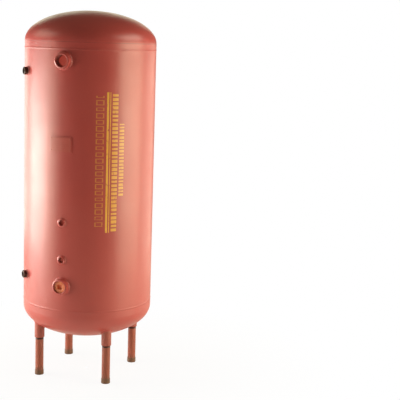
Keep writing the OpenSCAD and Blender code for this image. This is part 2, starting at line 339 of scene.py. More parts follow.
class Nodes:
    """Short calls for adding nodes to a tree."""

    def __init__(self, tree):
        self.tree = tree

    def add(self, kind, inputs=None, **settings):
        node = self.tree.nodes.new(kind)
        for name, value in settings.items():
            setattr(node, name, value)
        for name, value in (inputs or {}).items():
            self.feed(value, node.inputs[name])
        return node

    def feed(self, value, target):
        if isinstance(value, bpy.types.NodeSocket):
            self.tree.links.new(value, target)
        else:
            target.default_value = value

    def math(self, operation, first, second=0.0, third=0.0, clamp=False):
        node = self.add("ShaderNodeMath", {0: first, 1: second, 2: third},
                        operation=operation, use_clamp=clamp)
        return node.outputs[0]

    def mix(self, factor, first, second, blend="MIX"):
        node = self.add("ShaderNodeMix", data_type="RGBA", blend_type=blend)
        self.feed(factor, node.inputs[0])
        self.feed(first, node.inputs[6])
        self.feed(second, node.inputs[7])
        return node.outputs[2]

    def noise(self, vector, scale, detail=4.0, roughness=0.55, distortion=0.0):
        node = self.add("ShaderNodeTexNoise", {
            "Vector": vector, "Scale": scale, "Detail": detail, "Roughness": roughness,
            "Distortion": distortion})
        return node.outputs["Fac"]

    def where(self):
        """Position in the object's own space."""
        return self.add("ShaderNodeTexCoord").outputs["Object"]

    def level(self, where):
        """Height of a position."""
        return self.add("ShaderNodeSeparateXYZ", {0: where}).outputs["Z"]

    def group(self, name, **values):
        """A shared node group with its values set."""
        node = self.add("ShaderNodeGroup", node_tree=bpy.data.node_groups[name])
        for key, value in values.items():
            node.inputs[key.replace("_", " ")].default_value = value
        return node

    def bump(self, shader, height, strength, distance):
        """Relief on a shader."""
        node = self.add("ShaderNodeBump", {"Height": height})
        node.inputs["Strength"].default_value = strength
        node.inputs["Distance"].default_value = distance
        self.feed(node.outputs["Normal"], shader.inputs["Normal"])

    def ramp(self, value, low, high):
        """Value from 0 at low to 1 at high."""
        node = self.add("ShaderNodeMapRange", {"Value": value, "From Min": low,
                                               "From Max": high}, clamp=True)
        return node.outputs["Result"]


def new_group(name, inputs, outputs):
    """Shader node group: its maker, its given inputs' sockets and its result node."""
    group = bpy.data.node_groups.new(name, "ShaderNodeTree")
    for key, value in inputs.items():
        kind = "NodeSocketColor" if isinstance(value, tuple) else "NodeSocketFloat"
        group.interface.new_socket(name=key, in_out="INPUT",
                                   socket_type=kind).default_value = value
    for key, kind in outputs.items():
        group.interface.new_socket(name=key, in_out="OUTPUT", socket_type=kind)
    maker = Nodes(group)
    return maker, maker.add("NodeGroupInput").outputs, maker.add("NodeGroupOutput").inputs


def colour(rgb):
    """Colour with full opacity."""
    return (rgb[0], rgb[1], rgb[2], 1.0)


def mottle_group():
    """Uneven film: broad clouds, streaks down the plate and fine specks of dry spray."""
    maker, given, result = new_group("Film mottle", {
        "Base": (0.5, 0.1, 0.06, 1), "Deep": (0.4, 0.07, 0.04, 1),
        "Pale": (0.6, 0.2, 0.1, 1), "Clouds": 0.6, "Specks": 0.25},
        {"Color": "NodeSocketColor"})
    where = maker.where()
    broad = maker.ramp(maker.noise(where, 2.6, 5.0), 0.35, 0.68)
    stretched = maker.add("ShaderNodeMapping", {"Vector": where, "Scale": (9.0, 9.0, 0.9)})
    streaks = maker.ramp(maker.noise(stretched.outputs["Vector"], 1.6, 3.0), 0.42, 0.75)
    specks = maker.ramp(maker.noise(where, 160.0, 2.0, 0.7), 0.58, 0.78)
    deep = maker.math("MULTIPLY", maker.math("MAXIMUM", broad,
                                             maker.math("MULTIPLY", streaks, 0.6)),
                      given["Clouds"])
    tone = maker.mix(deep, given["Base"], given["Deep"])
    dry = maker.math("MULTIPLY", specks, given["Specks"])
    tone = maker.mix(dry, tone, given["Pale"])
    maker.feed(tone, result["Color"])


def spray_group():
    """Relief of a sprayed film: orange peel, dust nibs and the plate's slow waves."""
    maker, given, result = new_group("Spray relief", {
        "Peel": 0.4, "Nibs": 0.3, "Waves": 0.0, "Rough low": 0.3, "Rough high": 0.42},
        {"Height": "NodeSocketFloat", "Roughness": "NodeSocketFloat"})
    where = maker.where()
    peel = maker.math("MULTIPLY", maker.noise(where, 420.0, 2.0, 0.5),
                      given["Peel"])
    nibs = maker.math("MULTIPLY", maker.ramp(maker.noise(where, 300.0, 1.0), 0.68, 0.76),
                      given["Nibs"])
    waves = maker.math("MULTIPLY", maker.noise(where, 4.5, 1.0, 0.4),
                       given["Waves"])
    height = maker.math("ADD", maker.math("ADD", peel, nibs), waves)
    patches = maker.ramp(maker.noise(where, 7.0, 4.0), 0.3, 0.7)
    rough = maker.add("ShaderNodeMapRange", {
        "Value": patches, "To Min": given["Rough low"],
        "To Max": given["Rough high"]})
    maker.feed(height, result["Height"])
    maker.feed(rough.outputs["Result"], result["Roughness"])


def wear_group():
    """Mask of proud edges where the film is rubbed thin, broken up by noise."""
    maker, given, result = new_group("Edge wear", {"Reach": 0.53, "Amount": 0.6},
                                     {"Mask": "NodeSocketFloat"})
    where = maker.where()
    proud = maker.add("ShaderNodeNewGeometry").outputs["Pointiness"]
    rim = maker.add("ShaderNodeMapRange", {
        "Value": proud, "From Min": given["Reach"],
        "From Max": maker.math("ADD", given["Reach"], 0.08)}, clamp=True)
    broken = maker.ramp(maker.noise(where, 90.0, 4.0, 0.65), 0.42, 0.62)
    mask = maker.math("MULTIPLY", maker.math("MULTIPLY", rim.outputs["Result"], broken),
                      given["Amount"], clamp=True)
    maker.feed(mask, result["Mask"])


def soil_group():
    """Mask of grime that thins out with height above a level."""
    maker, given, result = new_group("Grime by height", {"From": 0.03, "To": 0.10},
                                     {"Mask": "NodeSocketFloat"})
    where = maker.where()
    height = maker.level(where)
    ragged = maker.math("MULTIPLY_ADD", maker.noise(where, 45.0, 4.0), 0.05,
                        maker.math("SUBTRACT", height, 0.025))
    fade = maker.add("ShaderNodeMapRange", {
        "Value": ragged, "From Min": given["From"],
        "From Max": given["To"], "To Min": 1.0, "To Max": 0.0}, clamp=True)
    maker.feed(fade.outputs["Result"], result["Mask"])


def blocks(maker, offset, height, column):
    """Mask of a column of painted blocks of uneven length, filled or outlined."""
    place, half, low, high, pitch, line, strength = column
    cells = maker.math("DIVIDE", maker.math("SUBTRACT", height, low), pitch)
    chance = maker.add("ShaderNodeTexWhiteNoise", {"W": maker.math("FLOOR", cells)},
                       noise_dimensions="1D").outputs["Value"]
    share = maker.math("MULTIPLY_ADD", chance, 0.34, 0.5)
    along = maker.math("ABSOLUTE", maker.math("SUBTRACT", maker.math("FRACT", cells), 0.5))
    along = maker.math("DIVIDE", maker.math("MULTIPLY", along, 2.0), share)
    across = maker.math("DIVIDE", maker.math("ABSOLUTE",
                                             maker.math("SUBTRACT", offset, place)), half)
    edge = maker.math("MAXIMUM", along, across)
    mask = maker.math("MULTIPLY", maker.math("LESS_THAN", edge, 1.0),
                      maker.math("GREATER_THAN", edge, 1.0 - line))
    ends = maker.math("MULTIPLY", maker.math("GREATER_THAN", height, low),
                      maker.math("LESS_THAN", height, high))
    return maker.math("MULTIPLY", maker.math("MULTIPLY", mask, ends), strength)


def rules(maker, offset, height, low, high):
    """Mask of a wide rule with a thin rule beside it."""
    wide = maker.math("COMPARE", offset, 0.0, 0.0060)
    thin = maker.math("COMPARE", offset, 0.0150, 0.0022)
    ends = maker.math("MULTIPLY", maker.math("GREATER_THAN", height, low),
                      maker.math("LESS_THAN", height, high))
    return maker.math("MULTIPLY", maker.math("MAXIMUM", wide, thin), ends)


def marking_group():
    """Mask of the yellow marking: two rules with columns of plain blocks beside them; the left
    column is drawn faint, as painted shade.
    """
    maker, given, result = new_group("Bar marking", {"Rule azimuth": RULE_AZIMUTH},
                                     {"Mask": "NodeSocketFloat"})
    where = maker.where()
    parts = maker.add("ShaderNodeSeparateXYZ", {0: where})
    back = maker.math("MULTIPLY", parts.outputs["Y"], -1.0)
    azimuth = maker.math("ARCTAN2", parts.outputs["X"], back)
    offset = maker.math("MULTIPLY", maker.math("SUBTRACT", azimuth,
                                               given["Rule azimuth"]), VESSEL_R)
    height = parts.outputs["Z"]
    total = rules(maker, offset, height, 0.915, 1.705)
    for column in MARKING_COLUMNS:
        total = maker.math("MAXIMUM", total, blocks(maker, offset, height, column))
    worn = maker.ramp(maker.noise(where, 55.0, 5.0, 0.7), 0.30, 0.44)
    maker.feed(maker.math("MULTIPLY", total, worn), result["Mask"])


# Offset from the rule, half width, lower and upper end, pitch, line (1 = filled), strength
MARKING_COLUMNS = (
    (0.044, 0.0170, 0.918, 1.702, 0.023, 1.00, 0.85),
    (0.086, 0.0150, 1.120, 1.530, 0.019, 1.00, 0.75),
    # The left column's low strength is painted shade: its blocks are drawn faint, as in shadow.
    (-0.044, 0.0230, 0.945, 1.685, 0.036, 0.30, 0.45),
)


def new_material(name):
    """Material with an empty tree, its maker and its Principled shader."""
    material = bpy.data.materials.new(name)
    material.use_nodes = True
    material.node_tree.nodes.clear()
    maker = Nodes(material.node_tree)
    shader = maker.add("ShaderNodeBsdfPrincipled")
    output = maker.add("ShaderNodeOutputMaterial")
    maker.feed(shader.outputs["BSDF"], output.inputs["Surface"])
    return material, maker, shader


def film(maker, shader, look, clouds=0.6, specks=0.25, peel=0.35, nibs=0.25, waves=0.0,
         rough=0.0, strength=0.25, tones=None):
    """Puts the sprayed film's mottle and relief on a shader; returns its colour socket."""
    base, deep, pale = tones or (look.primer, look.primer_deep, look.primer_pale)
    mottle = maker.group("Film mottle", Base=colour(base), Deep=colour(deep),
                         Pale=colour(pale), Clouds=clouds, Specks=specks)
    low = look.gloss + rough
    spray = maker.group("Spray relief", Peel=peel, Nibs=nibs, Waves=waves,
                        Rough_low=low - 0.04, Rough_high=low + 0.07)
    maker.bump(shader, spray.outputs["Height"], strength, 0.001)
    maker.feed(spray.outputs["Roughness"], shader.inputs["Roughness"])
    shader.inputs["Specular IOR Level"].default_value = look.sheen
    return mottle.outputs["Color"]


def rubbed(maker, shader, tone, reach, amount, bared):
    """Colours a shader with a tone that wears to another at its edges."""
    worn = maker.group("Edge wear", Reach=reach, Amount=amount).outputs["Mask"]
    maker.feed(maker.mix(worn, tone, bared), shader.inputs["Base Color"])


def plate_primer(look):
    """Satin red oxide primer on the heads and on the data plate's pad, with a painted shade line
    at the top head's knuckle.
    """
    _, maker, shader = new_material("Plate primer")
    tone = film(maker, shader, look, waves=1.6)
    where = maker.where()
    height = maker.level(where)
    flange = bpy.context.scene.tank_sizes.flange
    # Painted shade: a dark, broken line round the top head at its tangent, standing for the
    # shade where the knuckle starts to curve.
    line = maker.math("COMPARE", height, TOP_SEAM_Z + flange, 0.0022)
    broken = maker.ramp(maker.noise(where, 12.0, 3.0), 0.25, 0.6)
    line = maker.math("MULTIPLY", maker.math("MULTIPLY", line, broken), 0.45)
    tone = maker.mix(line, tone, (0.16, 0.022, 0.02, 1.0))
    maker.feed(tone, shader.inputs["Base Color"])


def marked_primer(look):
    """The same primer on the shell, with the yellow marking sprayed over it."""
    _, maker, shader = new_material("Marked primer")
    tone = film(maker, shader, look, waves=1.6)
    mark = maker.group("Bar marking", Rule_azimuth=RULE_AZIMUTH)
    painted = maker.mix(mark.outputs["Mask"], tone, colour(look.marking))
    maker.feed(painted, shader.inputs["Base Color"])


# Film and edge wear of each coated finish: film settings, reach, amount and bared colour
# (None is the pale primer)
COATED = {
    "Weld primer": (dict(clouds=0.9, specks=0.35, peel=0.5, nibs=0.8, rough=0.06,
                         strength=0.4), 0.54, 0.35, None),
    "Coupling primer": (dict(clouds=0.5, specks=0.4, peel=0.5, nibs=0.5, rough=0.02,
                             strength=0.4), 0.53, 0.55, None),
    "Socket primer": (dict(clouds=0.8, specks=0.4, peel=0.5, nibs=0.5, rough=0.05,
                           strength=0.4, tones=[(0.40, 0.074, 0.048), (0.31, 0.052, 0.038),
                                                (0.50, 0.13, 0.075)]),
                      0.55, 0.4, (0.46, 0.15, 0.085, 1.0)),
    "Plug primer": (dict(clouds=0.5, specks=0.4, peel=0.6, nibs=0.5, rough=0.05,
                         strength=0.4, tones=[(0.86, 0.24, 0.090), (0.74, 0.16, 0.065),
                                              (0.90, 0.34, 0.18)]),
                    0.58, 0.5, (0.16, 0.10, 0.08, 1.0)),
    "Data plate film": (dict(clouds=0.5, specks=0.3, peel=0.3, nibs=0.3, strength=0.25,
                             tones=[(0.50, 0.078, 0.058), (0.42, 0.055, 0.045),
                                    (0.62, 0.17, 0.11)]),
                        0.58, 0.35, (0.50, 0.20, 0.13, 1.0)),
}


def coated_finishes(look):
    """Welds, couplings, sockets, plug and data plate: sprayed film, rubbed at its edges."""
    for name, (settings, reach, amount, bared) in COATED.items():
        _, maker, shader = new_material(name)
        tone = film(maker, shader, look, **settings)
        rubbed(maker, shader, tone, reach, amount, bared or colour(look.primer_pale))


def black_steel_and_shade(look):
    """Oiled black steel without primer, with a little rust bloom; its near-black tone is partly
    painted shade on the side couplings' faces turned from the lights.
    """
    _, maker, shader = new_material("Black steel")
    where = maker.where()
    rust = maker.ramp(maker.noise(where, 60.0, 5.0, 0.7), 0.5, 0.75)
    rusty = (0.16, 0.055, 0.025, 1.0)
    tone = maker.mix(rust, colour(look.bare), rusty)
    rubbed(maker, shader, tone, 0.54, 0.5, (0.22, 0.15, 0.11, 1.0))
    shader.inputs["Metallic"].default_value = 0.35
    maker.feed(maker.math("MULTIPLY_ADD", rust, 0.3, 0.38), shader.inputs["Roughness"])
    maker.bump(shader, maker.noise(where, 350.0, 3.0), 0.35, 0.0005)


def leg_primer(look):
    """Thin, dull primer on the pipe legs, with grime at the floor and an oiled thread."""
    _, maker, shader = new_material("Leg primer")
    tones = [(0.37, 0.074, 0.030), (0.28, 0.052, 0.026), (0.46, 0.12, 0.05)]
    tone = film(maker, shader, look, clouds=0.9, specks=0.4, peel=0.5, nibs=0.4,
                rough=0.10, strength=0.35, tones=tones)
    soil = maker.group("Grime by height", From=0.02, To=0.060)
    grime = maker.math("MULTIPLY", soil.outputs["Mask"], 0.6)
    tone = maker.mix(grime, tone, (0.13, 0.065, 0.042, 1.0))
    where = maker.where()
    height = maker.level(where)
    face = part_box("front_left_socket")[0].z
    oiled = maker.ramp(height, face - 0.013, face - 0.010)
    tone = maker.mix(oiled, tone, (0.055, 0.012, 0.010, 1.0))
    rubbed(maker, shader, tone, 0.55, 0.4, (0.30, 0.14, 0.09, 1.0))


def cap_iron():
    """Dull iron foot cap, scuffed round its lower edge."""
    _, maker, shader = new_material("Cap iron")
    where = maker.where()
    blotch = maker.ramp(maker.noise(where, 38.0, 5.0, 0.65), 0.35, 0.7)
    tone = maker.mix(blotch, (0.17, 0.105, 0.070, 1.0), (0.24, 0.115, 0.068, 1.0))
    rubbed(maker, shader, tone, 0.53, 0.7, (0.34, 0.30, 0.27, 1.0))
    shader.inputs["Metallic"].default_value = 0.25
    maker.feed(maker.math("MULTIPLY_ADD", blotch, 0.2, 0.5), shader.inputs["Roughness"])
    maker.bump(shader, maker.noise(where, 240.0, 4.0), 0.4, 0.0006)


def mill_scale():
    """Rolled strip with blue-black scale and rust, inside the vessel."""
    _, maker, shader = new_material("Mill scale")
    where = maker.where()
    scale = maker.ramp(maker.noise(where, 22.0, 6.0, 0.7), 0.4, 0.62)
    tone = maker.mix(scale, (0.06, 0.06, 0.068, 1.0), (0.17, 0.07, 0.035, 1.0))
    maker.feed(tone, shader.inputs["Base Color"])
    shader.inputs["Metallic"].default_value = 0.6
    maker.feed(maker.math("MULTIPLY_ADD", scale, 0.3, 0.4), shader.inputs["Roughness"])


# ---------------------------------------------------------------- vessel surfaces

def bottom_height(x, y, sizes):
    """Height of the bottom head's outside at a place."""
    tangent = BOTTOM_SEAM_Z - sizes.flange
    depth = tangent - BOTTOM_CROWN_Z
    share = np.clip(1 - (x * x + y * y) / VESSEL_R ** 2, 0, 1)
    return tangent - depth * np.sqrt(share)


def radial_normal(point):
    """Direction out of the shell at a point."""
    return Vector((point.x, point.y, 0)).normalized()


def dished_normal(crown, tangent):
    """Function giving the direction out of a head at a point."""
    depth = crown - tangent

    def normal(point):
        if (point.z - tangent) * depth <= 0:
            return radial_normal(point)
        return Vector((point.x / VESSEL_R ** 2, point.y / VESSEL_R ** 2,
                       (point.z - tangent) / depth ** 2)).normalized()
    return normal


def head_piece(name, crown, seam, sizes, hole):
    """Dished head with a bevelled flange, and a hole of that radius at its crown."""
    sign = math.copysign(1, crown - seam)
    tangent = seam + sign * sizes.flange
    depth = abs(crown - tangent)
    inner_r = VESSEL_R - sizes.wall
    steps = 72
    turns = [math.pi / 2 * i / steps for i in range(steps)]
    start = max(hole, 0.002)
    outer = [(VESSEL_R * math.cos(t), depth * math.sin(t)) for t in turns]
    outer = [p for p in outer if p[0] > start]
    outer.append((start, depth * math.sqrt(1 - (start / VESSEL_R) ** 2)))
    inner = [(inner_r * math.cos(t), (depth - sizes.wall) * math.sin(t)) for t in turns]
    inner = [p for p in inner if p[0] > start]
    inner.append((start, (depth - sizes.wall) * math.sqrt(1 - (start / inner_r) ** 2)))
    profile = [(inner_r, -sizes.flange + sizes.seam_root / 2),
               (VESSEL_R, -sizes.flange + sizes.seam_width / 2)]
    profile += outer + inner[::-1]
    if not hole:
        profile[-len(inner) - 1] = (0.0005, depth)
        profile[-len(inner)] = (0.0005, depth - sizes.wall)
    profile = [(r, tangent + sign * h) for r, h in profile]
    piece = ring_piece(name, lathe_rings(profile, 192), Matrix.Identity(4))
    if not hole:
        close_crown(piece)
    smooth_as(piece, 0.9, dished_normal(crown, tangent))
    return piece


def close_crown(piece):
    """Merges the tiny rings at a head's crown into one point outside and one inside."""
    work = bmesh.new()
    work.from_mesh(piece.data)
    near = [v for v in work.verts if math.hypot(v.co.x, v.co.y) < 0.001]
    bmesh.ops.delete(work, geom=[e for e in work.edges if all(
        v in near for v in e.verts) and abs(e.verts[0].co.z - e.verts[1].co.z) > MM],
        context="EDGES")
    bmesh.ops.remove_doubles(work, verts=[v for v in work.verts if math.hypot(
        v.co.x, v.co.y) < 0.001], dist=0.002)
    bmesh.ops.recalc_face_normals(work, faces=work.faces)
    work.to_mesh(piece.data)
    work.free()


class TANK_OT_finishes(bpy.types.Operator):
    """Make every finish of the tank"""
    bl_idname = "tank.finishes"
    bl_label = "Finishes"

    def execute(self, context):
        look = context.scene.tank_finish
        for group in (mottle_group, spray_group, wear_group, soil_group, marking_group):
            group()
        for finish in (plate_primer, marked_primer, coated_finishes, black_steel_and_shade, leg_primer):
            finish(look)
        cap_iron()
        mill_scale()
        return {"FINISHED"}


class TANK_OT_shell(bpy.types.Operator):
    """Build the rolled shell with its port holes and its long groove"""
    bl_idname = "tank.shell"
    bl_label = "Shell"

    def execute(self, context):
        sizes = context.scene.tank_sizes
        inner_r = VESSEL_R - sizes.wall
        root, edge = sizes.seam_root / 2, sizes.seam_width / 2
        levels = np.linspace(BOTTOM_SEAM_Z + edge, TOP_SEAM_Z - edge, 24)
        profile = [(VESSEL_R, z) for z in levels]
        profile += [(inner_r, TOP_SEAM_Z - root), (inner_r, BOTTOM_SEAM_Z + root)]
        piece = ring_piece("shell_plate", lathe_rings(profile, 256), Matrix.Identity(4))
        cutters = [hole_cutter(port + "_coupling") for port in SHELL_PORTS]
        cutters.append(groove_cutter(sizes))
        cut(piece, cutters)
        smooth_as(piece, 0.9, radial_normal)
        settle(piece, "shell", "Marked primer")
        return {"FINISHED"}


def hole_cutter(node):
    """Closed round bar that cuts the hole of a coupling."""
    place = port_place(node)
    _, _, _, outer = measured(node, place)
    reach = VESSEL_R + 0.05
    profile = [(outer + 0.0002, VESSEL_R - 0.06), (outer + 0.0002, reach)]
    return ring_piece("cutter", lathe_rings(profile, 96), place, wrap_rows=False)


def seam_place():
    """Frame of the long seam: X out of the shell at the seam, Z up."""
    middle = centre("long_seam_weld")
    turn = math.atan2(middle.y, middle.x)
    return Matrix.Rotation(turn, 4, "Z")


def groove_cutter(sizes):
    """Closed wedge that cuts the groove of the long seam."""
    low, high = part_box("long_seam_weld")
    root, edge = sizes.seam_root / 2, sizes.seam_width / 2
    inner_r = VESSEL_R - sizes.wall
    section = [(inner_r - 0.001, -root), (inner_r, -root), (VESSEL_R, -edge),
               (VESSEL_R + 0.001, -edge), (VESSEL_R + 0.001, edge), (VESSEL_R, edge),
               (inner_r, root), (inner_r - 0.001, root)]
    rings = np.array([[(x, y, z) for x, y in section] for z in (low.z, high.z)])
    return ring_piece("cutter", rings, seam_place(), wrap_rows=False)


class TANK_OT_heads(bpy.types.Operator):
    """Build the dished top and bottom heads"""
    bl_idname = "tank.heads"
    bl_label = "Heads"

    def execute(self, context):
        sizes = context.scene.tank_sizes
        top = head_piece("top_head_plate", TOP_CROWN_Z, TOP_SEAM_Z, sizes, 0.0)
        settle(top, "top_head", "Plate primer")
        _, _, _, drain_r = measured("drain_coupling", port_place("drain_coupling"))
        bottom = head_piece("bottom_head_plate", BOTTOM_CROWN_Z, BOTTOM_SEAM_Z, sizes,
                            drain_r + 0.0002)
        settle(bottom, "bottom_head", "Plate primer")
        return {"FINISHED"}


def crown_rows(sizes, along, wander):
    """Radii and offsets round a seam's section, for each place along it."""
    rows = []
    for share in np.linspace(-1, 1, 9):
        offset = share * sizes.seam_width / 2 * (1 + 0.06 * wander)
        dome = sizes.seam_crown * (1 - share * share) ** 0.7
        phase = along / sizes.ripple + 0.9 * share * share
        ripple = 0.00022 * (1 - share * share) * (thread_wave(phase) - 0.5)
        rows.append((VESSEL_R + dome + ripple, offset))
    inner_r, root = VESSEL_R - sizes.wall, sizes.seam_root / 2
    return rows + [(inner_r, root), (inner_r, -root)]


class TANK_OT_seams(bpy.types.Operator):
    """Lay the girth seams and the long seam"""
    bl_idname = "tank.seams"
    bl_label = "Seams"

    def execute(self, context):
        sizes = context.scene.tank_sizes
        for node, level, seed in (("top_girth_weld", TOP_SEAM_Z, 3.0),
                                  ("bottom_girth_weld", BOTTOM_SEAM_Z, 7.0)):
            self.girth(node, level, seed, sizes)
        self.long_seam(sizes)
        return {"FINISHED"}

    def girth(self, node, level, seed, sizes):
        angle = around(2656)
        turns = round(2 * math.pi * VESSEL_R / sizes.ripple)
        along = angle / (2 * math.pi) * turns * sizes.ripple
        rows = crown_rows(sizes, along, looped_drift(angle, 9.0, seed))
        profile = [(radius, level + offset) for radius, offset in rows]
        piece = ring_piece(node + "_bead", lathe_rings(profile, len(angle)),
                           Matrix.Identity(4))
        settle(piece, node, "Weld primer")

    def long_seam(self, sizes):
        low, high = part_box("long_seam_weld")
        along = np.linspace(low.z, high.z, 1640)
        rows = crown_rows(sizes, along, drift(along, 25.0, 11.0))
        rings = np.stack([np.stack([np.broadcast_to(r, along.shape),
                                    np.broadcast_to(o, along.shape), along], -1)
                          for r, o in rows], 1)
        piece = ring_piece("long_seam_bead", rings, seam_place(), wrap_rows=False)
        settle(piece, "long_seam_weld", "Weld primer")


def sleeve_profile(low, high, bore, outer, pitch, depth, columns):
    """Closed profile of a threaded coupling: rounded outside, countersunk threaded bore."""
    mouth = 0.0022
    rim = outer - bore
    angle = around(columns)
    profile = [(outer - 0.0005, low), (outer, low + 0.0005)]
    profile += [(outer, z) for z in np.linspace(low + 0.004, high - 0.30 * rim - 0.003, 5)]
    profile += arc((outer - 0.0012, high - 0.30 * rim - 0.0012), 0.0012, 0, 63, 3)
    profile += [(outer - 0.3 * rim, high - 0.16 * rim), (outer - 0.6 * rim, high)]
    profile += [(bore + mouth + 0.0004, high), (bore + mouth, high - 0.0002)]
    start, end = high - mouth, low + 0.001
    for level in np.arange(start, end, -pitch / 6):
        fade = min(1.0, (level - end) / pitch)
        wave = thread_wave(level / pitch - angle / (2 * math.pi))
        profile.append((bore + depth * fade * (1 - wave), level))
    profile.append((bore, low + 0.0006))
    profile.append((bore + 0.0006, low))
    return profile


class TANK_OT_couplings(bpy.types.Operator):
    """Turn the threaded couplings of all the ports"""
    bl_idname = "tank.couplings"
    bl_label = "Couplings"

    def execute(self, context):
        sizes = context.scene.tank_sizes
        for port in SHELL_PORTS + ("drain",):
            node = port + "_coupling"
            place = port_place(node)
            low, high, bore, outer = measured(node, place)
            main = "main" in port
            pitch = sizes.main_pitch if main else sizes.small_pitch
            columns = 128 if main else 80
            profile = sleeve_profile(low, high, bore, outer, pitch, 0.7 * pitch, columns)
            piece = ring_piece(port + "_sleeve", lathe_rings(profile, columns), place)
            # Side couplings get the near-black finish: partly bare steel, partly painted shade.
            finish = "Black steel" if "side" in port else "Coupling primer"
            settle(piece, node, finish)
        return {"FINISHED"}


def fillet_rings(pipe_r, leg, ripple, surface, seed):
    """Rings of a rippled fillet bead round a pipe that stands on a surface."""
    count = round(2 * math.pi * (pipe_r + leg / 2) / ripple)
    columns = count * 6
    angle = around(columns)
    cos, sin = np.cos(angle), np.sin(angle)
    size = leg * (1 + 0.07 * looped_drift(angle, 4.0, seed))
    rings = []
    for share in np.linspace(0, 1, 9):
        radius = pipe_r - 0.0003 + (size + 0.0003) * share
        phase = angle / (2 * math.pi) * count + 0.8 * (2 * share - 1) ** 2
        swell = math.sin(math.pi * share)
        wave = 0.00045 * swell * (thread_wave(phase) - 0.5)
        rise = size * ((1 - share) ** 1.25) + 0.10 * size * swell + wave
        radius = radius + 0.4 * wave
        rings.append(np.stack([radius * cos, radius * sin,
                               surface(radius * cos, radius * sin) + rise], -1))
    root = np.broadcast_to(pipe_r - 0.0003, angle.shape)
    rings.append(np.stack([root * cos, root * sin,
                           surface(root * cos, root * sin) - 0.0004], -1))
    outer = pipe_r + size
    rings.insert(-1, np.stack([outer * cos, outer * sin,
                               surface(outer * cos, outer * sin) - 0.0004], -1))
    return np.array(rings)


class TANK_OT_port_welds(bpy.types.Operator):
    """Lay the fillet welds round the couplings"""
    bl_idname = "tank.port_welds"
    bl_label = "Port welds"

    def execute(self, context):
        sizes = context.scene.tank_sizes
        for seed, port in enumerate(SHELL_PORTS + ("drain",)):
            place = port_place(port + "_coupling")
            _, _, _, outer = measured(port + "_coupling", place)

            def shell_surface(u, v):
                return np.sqrt(VESSEL_R ** 2 - u * u)

            def drain_surface(u, v):
                return -bottom_height(u, v, sizes)

            surface = drain_surface if port == "drain" else shell_surface
            rings = fillet_rings(outer, sizes.fillet, sizes.ripple, surface, seed + 0.5)
            piece = ring_piece(port + "_fillet", rings, place)
            settle(piece, port + "_weld", "Weld primer")
        return {"FINISHED"}


def square_radius(angle, half, corner):
    """Distance from the middle to a rounded square's outline at each angle."""
    power = 2 + 3 * half / corner / 2
    return half / (np.abs(np.cos(angle)) ** power + np.abs(np.sin(angle)) ** power) ** (
        1 / power)


class TANK_OT_port_plug(bpy.types.Operator):
    """Turn the countersunk plug of the lower main port"""
    bl_idname = "tank.port_plug"
    bl_label = "Port plug"

    def execute(self, context):
        node = "lower_main_plug"
        pitch = context.scene.tank_sizes.main_pitch
        low, high, _, outer = measured(node, port_place("lower_main_coupling"))
        columns = 128
        edge, depth, half, thread = 0.0015, 0.014, 0.014, 0.0016
        square = square_radius(around(columns), half, 0.003)
        profile = [(0.0005, low), (outer - edge, low)]
        profile += arc((outer - edge, low + edge), edge, -90, 0)
        for level in np.arange(low + 2 * edge, high - 2 * edge, pitch / 6):
            wave = thread_wave(level / pitch - around(columns) / (2 * math.pi))
            profile.append((outer - thread * (1 - wave), level))
        profile += arc((outer - edge, high - edge), edge, 0, 90)
        profile += [((outer + half + 0.002) / 2, high), (square + 0.0012, high),
                    (square + 0.0004, high - 0.0004), (square, high - 0.0014)]
        profile += [(square, z) for z in np.linspace(high - 0.004, high - depth, 4)]
        profile += [(square * 0.5, high - depth - 0.0006), (0.0005, high - depth - 0.0008)]
        piece = ring_piece("lower_main_plug_body", lathe_rings(profile, columns),
                           port_place("lower_main_coupling"))
        settle(piece, node, "Plug primer")
        return {"FINISHED"}


class TANK_OT_sockets(bpy.types.Operator):
    """Cope the leg sockets to the bottom head and weld them"""
    bl_idname = "tank.sockets"
    bl_label = "Sockets"

    def execute(self, context):
        sizes = context.scene.tank_sizes
        for seed, corner in enumerate(CORNERS):
            place = corner_place(corner)
            low, _, bore, outer = measured(corner + "_socket", place)
            offset = place.translation

            def surface(u, v):
                return bottom_height(u + offset.x, v + offset.y, sizes)

            self.socket(corner, place, low, bore, outer, surface)
            flipped = place @ Matrix.Rotation(math.pi, 4, "X")

            def hanging(u, v):
                return -surface(u, -v)

            rings = fillet_rings(outer, sizes.fillet, sizes.ripple, hanging, seed + 20.5)
            piece = ring_piece(corner + "_socket_fillet", rings, flipped)
            settle(piece, corner + "_socket_weld", "Weld primer")
        return {"FINISHED"}

    def socket(self, corner, place, low, bore, outer, surface):
        columns = 96
        angle = around(columns)
        edge = 0.002
        profile = arc((outer - edge, low + edge), edge, -90, 0)
        top = surface(outer * np.cos(angle), outer * np.sin(angle))
        for share in (0.15, 0.4, 0.7, 1.0):
            start = low + 2 * edge
            profile.append((outer, start + (top - start) * share))
        inner_top = surface(bore * np.cos(angle), bore * np.sin(angle))
        profile.append((bore, inner_top))
        profile.append((bore, low + 0.02))
        profile.append((bore, low + 0.0015))
        profile.append((bore + 0.001, low))
        piece = ring_piece(corner + "_socket_body", lathe_rings(profile, columns), place)
        settle(piece, corner + "_socket", "Socket primer")


